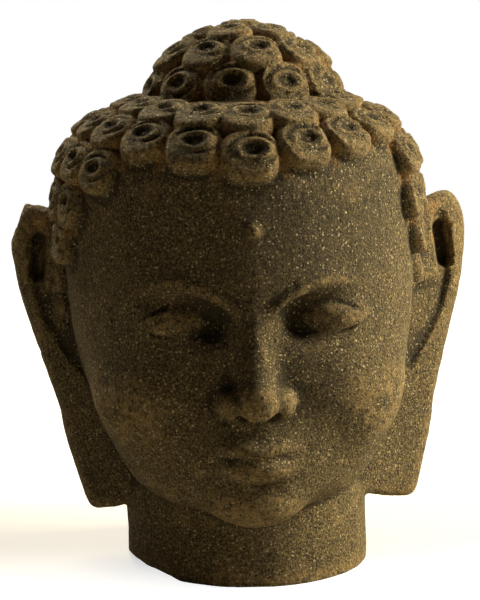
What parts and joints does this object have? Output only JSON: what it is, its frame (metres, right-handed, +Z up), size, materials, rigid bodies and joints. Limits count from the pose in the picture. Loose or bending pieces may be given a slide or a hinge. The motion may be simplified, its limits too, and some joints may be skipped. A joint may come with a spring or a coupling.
{
  "type": "stone buddha head",
  "caption": "Carved stone head with snail-shell curls, domed topknot, long ears and calm lowered eyes, standing on its neck, which is cut flat.",
  "frame": {"origin": "centre of the neck's flat underside", "axes": "+Z up from the underside to the topknot, -Y the way the face looks, +X towards the carving's own left ear"},
  "size_m": [0.2619, 0.231, 0.3002],
  "materials": {
    "volcanic_stone": "rough, weathered"
  },
  "bodies": {
    "root": {"stone_head": "volcanic_stone"}
  },
  "joints": []
}
